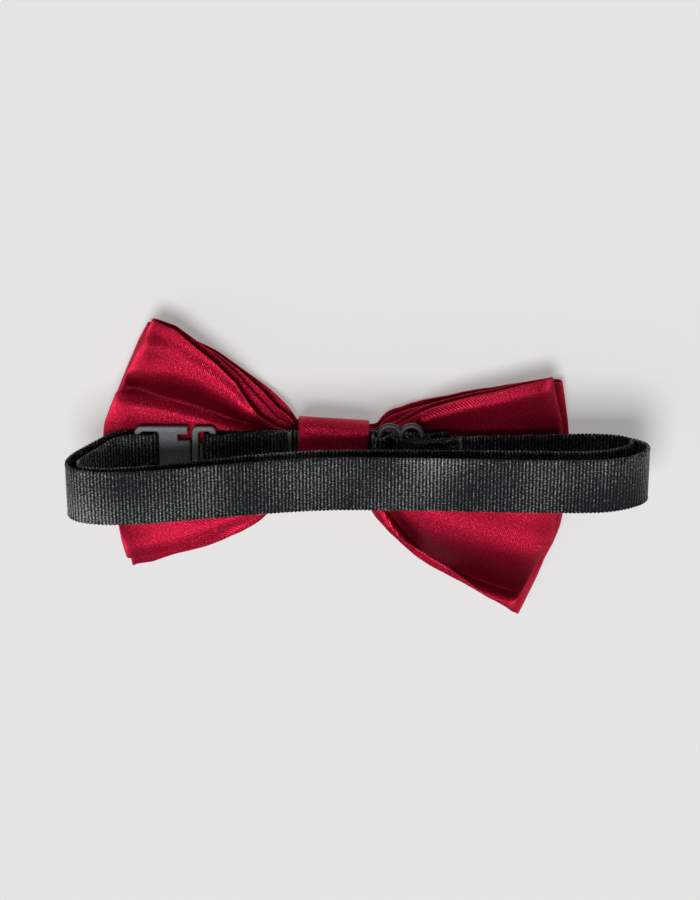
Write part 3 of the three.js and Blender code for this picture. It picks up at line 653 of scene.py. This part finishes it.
# The left half spreads, and more so towards the upper side.
width = np.where(x < 0, width + 0.35 + 0.05 * y, width)
middle = np.stack([x * width, y, z], axis=2)
# The knot's cloth is laid out aside from the loops' cloth, so its slubs fall in other places.
LAID_ASIDE = 200
knot_place = np.stack([s, x * KNOT_HALF_WIDTH + LAID_ASIDE], axis=2)
points, flat = thick_cloth(turned(middle, KNOT_TURN), knot_place, KNOT_CLOTH, ring=False)
wrap = grid_piece("satin_knot", points, flat, (False, True), satin, "tie",
                  strip_ends(*x.shape))
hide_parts("knot_wrap")

STIFFENER_Z = 1.95
y, x = np.meshgrid(np.linspace(-8.4, 6.6, 30), np.linspace(-8.2, 8.2, 24), indexing="ij")
middle = np.stack([x, y, STIFFENER_Z + 0.06 * np.cos(0.5 * y) * np.cos(0.4 * x)], axis=2)
points, flat = thick_cloth(turned(middle, KNOT_TURN), np.stack([y, x], 2), INTERLINING_THICKNESS,
                           ring=False)
stiffener = grid_piece("knot_stiffener", points, flat, (False, True), fusible, "tie",
                       strip_ends(*y.shape))
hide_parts("knot_lining")

# ---- Elastic neckband -----------------------------------------------------------------------
# Ribbed woven elastic, 15 mm wide: a long band doubled round the neck through the hook, and a
# short strap turned round the ring and sewn back on itself. Its edges are a toothed selvedge.
BAND_WIDTH = 15
BAND_THICKNESS = 0.9
RIB = 0.9
TOOTH = 1.05
# The spacing of the points along a line of webbing, and the cloth length where the band starts.
BAND_STEP = 0.3
BAND_START = 1000

# Glossy black polyester over rubber, with cross ribs 0.9 mm apart. Its colour holds painted
# light and shade: the ribs' hollows are painted near black and their crowns paler, in random
# patches of painted sheen, and fine grey sparks are painted on the crowns as glints. A spark is
# metallic, so it shines only where a lamp reaches it.
elastic, elastic_shader = new_material("black_ribbed_elastic", Roughness=0.42,
                                       Specular_IOR_Level=0.14)
weave_place = add_node(elastic, "UVMap", uv_map="cloth").outputs["UV"]
ribs = add_node(elastic, "TexWave", {"Vector": weave_place, "Scale": WAVE_REPEAT / RIB,
                                     "Distortion": 0.5, "Detail": 1.0, "Detail Scale": 1.0})
yarn_place = add_node(elastic, "Mapping", {"Vector": weave_place, "Scale": (1.3, 2.0, 1)})
yarns = add_node(elastic, "TexNoise", {"Vector": yarn_place.outputs["Vector"], "Scale": 1.15,
                                       "Detail": 3.0, "Roughness": 0.75})
# Painted sheen: large random patches along the band where the crowns are painted paler and the
# painted sparks come thicker.
painted_sheen_patches = add_node(elastic, "TexNoise", {"Vector": weave_place, "Scale": 0.035, "Detail": 1.0})
painted_sheen_shift = add_node(elastic, "MapRange", {"Value": painted_sheen_patches.outputs["Fac"], "From Min": 0.3,
                                            "From Max": 0.7, "To Min": -0.1, "To Max": 0.07})
painted_crown_sheen = add_node(elastic, "Mix", {"Factor": painted_sheen_patches.outputs["Fac"], "A": colour("#131418"),
                                       "B": colour("#2C2F34")}, data_type="RGBA")
# Painted light and shade: the ribs' hollows near black, their crowns paler.
ribs_painted_light_and_shade = add_node(elastic, "Mix", {"Factor": ribs.outputs["Fac"], "A": colour("#050609"),
                                     "B": painted_crown_sheen.outputs["Result"]}, data_type="RGBA")
yarns_in_painted_sheen = add_node(elastic, "Math", {0: yarns.outputs["Fac"], 1: painted_sheen_shift.outputs["Result"]},
                      operation="ADD")
lit_yarns = add_node(elastic, "Math", {0: ribs.outputs["Fac"], 1: 0.16,
                                       2: yarns_in_painted_sheen.outputs["Value"]}, operation="MULTIPLY_ADD")
# Painted glints: pale grey metallic sparks where the crowns, the yarns' noise and the sheen patches
# run high.
painted_spark_share = add_node(elastic, "MapRange", {"Value": lit_yarns.outputs["Value"], "From Min": 0.6,
                                             "From Max": 0.78, "To Max": 0.85})
with_painted_sparks = add_node(elastic, "Mix", {"Factor": painted_spark_share.outputs["Result"],
                                    "A": ribs_painted_light_and_shade.outputs["Result"],
                                    "B": colour("#B2B6B2")}, data_type="RGBA")
# A cut end shows the pale rubber cores: the strap's flat length is measured from that end.
place_parts = add_node(elastic, "SeparateXYZ", {"Vector": weave_place})
cut_share = add_node(elastic, "MapRange", {"Value": place_parts.outputs["X"], "From Min": 0.35,
                                           "From Max": 1.1, "To Min": 0.75, "To Max": 0.0})
ended = add_node(elastic, "Mix", {"Factor": cut_share.outputs["Result"],
                                  "A": with_painted_sparks.outputs["Result"],
                                  "B": colour("#A9B0A8")}, data_type="RGBA")
weave_height = add_node(elastic, "Math", {0: ribs.outputs["Fac"], 1: yarns.outputs["Fac"]},
                        operation="ADD")
weave_bump = add_node(elastic, "Bump", {"Height": weave_height.outputs["Value"], "Strength": 0.8,
                                        "Distance": 0.0002})
set_inputs(elastic, elastic_shader, {"Base Color": ended.outputs["Result"],
                                     "Metallic": painted_spark_share.outputs["Result"],
                                     "Normal": weave_bump.outputs["Normal"]})


# How far the standing loop's left half leans out of line, and how much its face tips.
LEAN = 2.7
TIP = 0.13
# How much lower the back strand hangs beside the knot.
HANG = 1.2


def webbing(name, line, from_end, body, nodes):
    """Elastic along a line of X and Z points, whose cloth length starts at from_end. Across it w
    runs over the width; the last columns stand in and out by a tooth, and sway off the flat as
    slanting stitches do. The band's front leans out and tips with height, as a soft loop standing
    on its edge does."""
    s, w = np.meshgrid(np.arange(len(line)) * BAND_STEP, np.linspace(-1, 1, 15), indexing="ij")
    x, z = line[:, :1], line[:, 1:]
    edge = np.abs(w) > 0.93
    tooth = np.where(edge, np.cos(2 * math.pi * s / TOOTH), 0)
    half = (BAND_WIDTH - BAND_THICKNESS) / 2
    risen = smooth(14, 32, z)
    lean = 1 - (1 - risen * smooth(5, -60, x)) * (1 - 0.85 * smooth(-55, -66, x))
    placed = from_end + s
    hang = (HANG * smooth(BAND_START + 12, BAND_START + 28, placed)
            * (1 - smooth(BAND_START + 70, BAND_START + 95, placed)))
    y = BAND_Y + w * half + np.sign(w) * 0.14 * tooth - LEAN * lean - hang
    tip = np.where(edge, 0.09 * np.sin(2 * math.pi * s / TOOTH), 0)
    bead = 0.06 * hill(np.abs(w), 0.8, 0.06)
    way = unit(np.gradient(line, axis=0))
    middle = np.stack([x - way[:, 1:] * (tip + bead), y,
                       z + way[:, :1] * (tip + bead) + TIP * w * half * risen], axis=2)
    points, flat = thick_cloth(middle, np.stack([placed, w * half], 2), BAND_THICKNESS,
                               ring=False)
    piece = grid_piece(name, points, flat, (False, True), elastic, body,
                       strip_ends(*s.shape))
    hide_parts(*nodes)
    return piece


def bend_round(x, z, radius, start, end):
    """Points of an arc about a bar, from one angle to another in degrees."""
    angle = np.radians(np.linspace(start, end, int(abs(end - start) / 30) + 2))
    return [*zip(x + radius * np.cos(angle), z + radius * np.sin(angle))]


SLIDER_Z = 17
LEFT_BAR, CENTRE_BAR, RIGHT_BAR = 12.1, 17.6, 23.1
HOOK_BAR, RING_BAR, CLIP_Z = -51, -31.2, 14.2
BAR_TURN = 1.7
# How far right of its bar the slack fold in the hook bends, and how far left the ring's does.
HOOK_SLACK, RING_SLACK = 3.35, 0.4
band_route = [
    (1.5, 12.5), (12, 12.5), (24, 12.5), (36, 12.5), (48, 12.5), (60, 12.5), (66, 12.5),
    (71.5, 13), (76.5, 15), (80.4, 19), (81.2, 23.6), (79.2, 28.2), (75, 31.8), (69.6, 33.9),
    (64, 34.4), (48, 34.2), (24, 32.9), (0, 32.3), (-24, 33.6), (-40, 35), (-52, 35.9),
    (-58, 35.8), (-64.4, 34.2), (-67.4, 31), (-68, 26.7), (-66.6, 22.4), (-63.8, 18.2),
    (-60, 15), (-56, 13.1), (-53, 12.6), (-50, 12.5),
    *bend_round(HOOK_BAR + HOOK_SLACK, CLIP_Z, BAR_TURN, -90, 90),
    (-50, 15.9), (-53, 15.9), (-56.2, 17.2), (-60, 20.4), (-63.4, 24.2), (-65.1, 28),
    (-64.2, 31.2), (-60.6, 32.6),
    (-56, 32.6), (-51, 32.2), (-36, 30.2), (-18, 27.9), (0, 26.9), (20, 26.8), (42, 27.3),
    (60, 27.9), (66.5, 27.7), (72.4, 25.9), (76.4, 22.6), (77.1, 18.9), (74.4, 16.4),
    (70.4, 15.5), (66, 15.2), (55, 15.9), (44, 16.65), (33.7, 17.35), (29.5, 18.4), (26.2, 19.4),
    *bend_round(RIGHT_BAR, SLIDER_Z, 3.0, 80, 140),
    *bend_round(CENTRE_BAR, SLIDER_Z, 1.85, 10, -280),
    *bend_round(RIGHT_BAR, SLIDER_Z, 4.4, 125, 75), (27, 20.7), (30.2, 19.8), (33.3, 18.95)]
band_line = smooth_line(band_route, BAND_STEP)
FIXED_END_X = 65.82
TAB_START_X = 33.72


def last_crossing(x):
    """The last station of the band's line where it passes that X."""
    return int(np.flatnonzero(np.diff(np.sign(band_line[:, 0] - x)))[-1])


fixed_end, tab_start = last_crossing(FIXED_END_X), last_crossing(TAB_START_X)
webbing("neckband", band_line[:fixed_end + 1], BAND_START, "tie",
        ["band_back_strand", "band_outer_right_turn", "band_outer_front_strand",
         "band_outer_left_turn", "band_hook_fold", "band_inner_left_turn",
         "band_inner_front_strand", "band_inner_right_turn"])
running = webbing("neckband_running_strand", band_line[fixed_end:tab_start + 1],
                  BAND_START + fixed_end * BAND_STEP, "tie", ["band_free_strand"])
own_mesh(running)
sewn_end = band_line[tab_start:]
webbing("neckband_sewn_end", sewn_end[::-1], 0, "slider", ["band_sewn_tab"])
weave_route = [(10.45, 13.6), (10.45, 15.5), *bend_round(LEFT_BAR, SLIDER_Z, 1.65, 180, 10),
               *bend_round(CENTRE_BAR, SLIDER_Z, 3.15, 215, 325),
               *bend_round(RIGHT_BAR, SLIDER_Z, 1.65, 170, 0),
               (25.4, 15.4), (27.3, 14.1), (30.1, 13.9)]
webbing("neckband_in_slider", smooth_line(weave_route, BAND_STEP), BAND_START + 200, "slider",
        ["band_weave"])
strap_route = [(-1.5, 12.5), (-6, 12.5), (-11, 12.5), (-16, 12.5), (-21, 12.5), (-26, 12.5),
               *bend_round(RING_BAR - RING_SLACK, CLIP_Z, BAR_TURN, -90, -270),
               (-28.6, 15.65), (-25.4, 14.55), (-22, 13.85), (-16, 13.85), (-10.9, 13.85)]
webbing("short_strap_sewn", smooth_line(strap_route, BAND_STEP)[::-1], 0, "tie", ["short_strap"])

# ---- Slider ---------------------------------------------------------------------------------
# A moulded figure-eight frame: two round-ended slots side by side that share the centre bar. The
# band goes over its side bars and under the centre one, and the band's end is sewn round it.
# Injection-moulded nylon with a fine spark-eroded grain of about 0.25 mm.


def moulded_nylon(name, hollow, crown):
    """Nylon between two tones by its grain: the grain's crowns are painted paler as painted light
    and its hollows darker as painted shade.
    """
    material, shader = new_material(name, Roughness=0.42, Specular_IOR_Level=0.5)
    grain = add_node(material, "TexNoise", {
        "Vector": add_node(material, "TexCoord").outputs["Object"], "Scale": 4000.0, "Detail": 2.0})
    # Painted light on the grain's crowns and painted shade in its hollows.
    painted_light_and_shade = add_node(material, "Mix", {"Factor": grain.outputs["Fac"], "A": colour(hollow),
                                      "B": colour(crown)}, data_type="RGBA")
    bump = add_node(material, "Bump", {"Height": grain.outputs["Fac"], "Strength": 0.6,
                                       "Distance": 0.00015})
    set_inputs(material, shader, {"Base Color": painted_light_and_shade.outputs["Result"],
                                  "Normal": bump.outputs["Normal"]})
    return material


slider_nylon = moulded_nylon("moulded_black_nylon", "#121418", "#2C3036")
clip_nylon = moulded_nylon("moulded_grey_nylon", "#383C3E", "#A6AAAC")


def arc(x, y, radius, start, end):
    """Points of an arc in the flat, from one angle to another in degrees."""
    angle = np.radians(np.linspace(start, end, max(3, int(abs(end - start) / 9) + 1)))
    return np.stack([x + radius * np.cos(angle), y + radius * np.sin(angle)], axis=1)


def rounded_box(left, low, right, high, radius):
    """The outline of a rectangle with round corners."""
    return np.concatenate([arc(left + radius, low + radius, radius, 180, 270),
                           arc(right - radius, low + radius, radius, 270, 360),
                           arc(right - radius, high - radius, radius, 0, 90),
                           arc(left + radius, high - radius, radius, 90, 180)])


def moulded_plate(name, outline, openings, thickness, softness):
    """A mesh of a flat plate: the outline less its openings, given its thickness, with its edges
    rounded inwards by softness. It lies about z = 0."""
    drawing = bpy.data.curves.new(name, "CURVE")
    drawing.dimensions, drawing.fill_mode = "2D", "BOTH"
    for loop in (outline, *(opening[::-1] for opening in openings)):
        spline = drawing.splines.new("POLY")
        spline.points.add(len(loop) - 1)
        rows = np.concatenate([loop * MM, np.zeros((len(loop), 1)), np.ones((len(loop), 1))], 1)
        spline.points.foreach_set("co", rows.ravel())
        spline.use_cyclic_u = True
    drawing.extrude = (thickness / 2 - softness) * MM
    drawing.bevel_depth = softness * MM
    drawing.bevel_resolution = 3
    drawing.offset = -softness * MM
    holder = bpy.data.objects.new(name, drawing)
    mesh = bpy.data.meshes.new_from_object(holder)
    bpy.data.objects.remove(holder)
    bpy.data.curves.remove(drawing)
    return mesh


def moulded_piece(name, parts, material, body, node):
    """One moulding from meshes, each with the matrix that puts it in place in mm."""
    joined = bmesh.new()
    for mesh, place in parts:
        one = bmesh.new()
        one.from_mesh(mesh)
        bmesh.ops.remove_doubles(one, verts=one.verts, dist=1e-6)
        bmesh.ops.transform(one, matrix=place, verts=one.verts)
        bmesh.ops.recalc_face_normals(one, faces=one.faces)
        one.to_mesh(mesh)
        one.free()
        joined.from_mesh(mesh)
    mesh = bpy.data.meshes.new(name)
    joined.to_mesh(mesh)
    joined.free()
    mesh.shade_smooth()
    mesh.set_sharp_from_angle(angle=math.radians(35))
    mesh.materials.append(material)
    piece = new_object(name, mesh)
    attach(piece, body)
    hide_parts(node)


ARCH_RADIUS, ARCH_PITCH, FRAME_WIDTH = 3.35, 5.7, 1.4
FRAME_LEFT, FRAME_HALF_HEIGHT, FRAME_THICKNESS, FRAME_SOFTNESS = 11.4, 11, 1.4, 0.5
arch_left = FRAME_LEFT + ARCH_RADIUS
arch_right = arch_left + ARCH_PITCH
straight_half = FRAME_HALF_HEIGHT - ARCH_RADIUS
meeting = math.degrees(math.acos(ARCH_PITCH / 2 / ARCH_RADIUS))
figure_eight = np.concatenate([
    arc(arch_left, -straight_half, ARCH_RADIUS, 180, 360 - meeting),
    arc(arch_right, -straight_half, ARCH_RADIUS, 180 + meeting, 360),
    arc(arch_right, straight_half, ARCH_RADIUS, 0, 180 - meeting),
    arc(arch_left, straight_half, ARCH_RADIUS, meeting, 180)])
slots = [np.concatenate([arc(x, -straight_half, ARCH_RADIUS - FRAME_WIDTH, 180, 360),
                         arc(x, straight_half, ARCH_RADIUS - FRAME_WIDTH, 0, 180)])
         for x in (arch_left, arch_right)]
moulded_piece("slider_frame", [(moulded_plate("slider_frame", figure_eight, slots,
                                              FRAME_THICKNESS, FRAME_SOFTNESS),
                                Matrix.Translation(Vector((0, BAND_Y, SLIDER_Z)) * MM))],
              slider_nylon, "slider", "slider")

# ---- Clip -----------------------------------------------------------------------------------
# Two flat mouldings of grey nylon. The band turns round the hook's left bar and the short
# strap round the ring's right bar; the hook's tongue passes under the ring and turns up behind.
CLIP_HALF_HEIGHT, SLOT_HALF_HEIGHT, CLIP_THICKNESS, CLIP_SOFTNESS = 9.2, 7.9, 1.5, 0.4
clip_place = Matrix.Translation(Vector((0, BAND_Y, CLIP_Z)) * MM)
ring_outline = rounded_box(-36.75, -CLIP_HALF_HEIGHT, -30.45, CLIP_HALF_HEIGHT, 1.6)
ring_opening = rounded_box(-35.05, -SLOT_HALF_HEIGHT, -31.95, SLOT_HALF_HEIGHT, 0.8)
moulded_piece("clip_ring_frame", [(moulded_plate("clip_ring_frame", ring_outline, [ring_opening],
                                                 CLIP_THICKNESS, CLIP_SOFTNESS), clip_place)],
              clip_nylon, "ring", "clip_ring")

PLATE_LEFT, PLATE_RIGHT, PLATE_CORNER = -51.75, -37.2, 2
# A notch near each right corner of the plate: how deep it is and where it starts and ends, and
# how far the corner past it stands back.
NOTCH_DEPTH, NOTCH_LOW, NOTCH_HIGH, CORNER_BACK = 3.2, -7.1, -5.4, 0.6
notch = [(PLATE_RIGHT - CORNER_BACK, -CLIP_HALF_HEIGHT), (PLATE_RIGHT - CORNER_BACK, NOTCH_LOW),
         (PLATE_RIGHT - NOTCH_DEPTH, NOTCH_LOW), (PLATE_RIGHT - NOTCH_DEPTH, NOTCH_HIGH),
         (PLATE_RIGHT, NOTCH_HIGH)]
notch_above = [(x, -y) for x, y in notch[::-1]]
corner_x, corner_y = PLATE_LEFT + PLATE_CORNER, CLIP_HALF_HEIGHT - PLATE_CORNER
hook_outline = np.concatenate([notch, notch_above, arc(corner_x, corner_y, PLATE_CORNER, 90, 180),
                               arc(corner_x, -corner_y, PLATE_CORNER, 180, 270)])
hook_slot = rounded_box(-50.25, -SLOT_HALF_HEIGHT, -45.4, SLOT_HALF_HEIGHT, 1)
tongue_profile = np.array([(-39.8, -2.1), (-34.1, -2.1), (-33.8, -1.8), (-33.8, 0.8), (-34.05, 1.1),
                           (-34.35, 1.1), (-34.6, 0.8), (-34.6, -1.1), (-37.5, -1.1), (-37.5, 0),
                           (-39.8, 0)])
TONGUE_WIDTH, TONGUE_SOFTNESS = 8.4, 0.12
upright = Matrix(((1, 0, 0, 0), (0, 0, -1, 0), (0, 1, 0, 0), (0, 0, 0, 1)))
moulded_piece("clip_hook_plate",
              [(moulded_plate("clip_hook_plate", hook_outline, [hook_slot], CLIP_THICKNESS,
                              CLIP_SOFTNESS), clip_place),
               (moulded_plate("hook_tongue", tongue_profile, [], TONGUE_WIDTH, TONGUE_SOFTNESS),
                clip_place @ upright)],
              clip_nylon, "hook", "clip_hook")
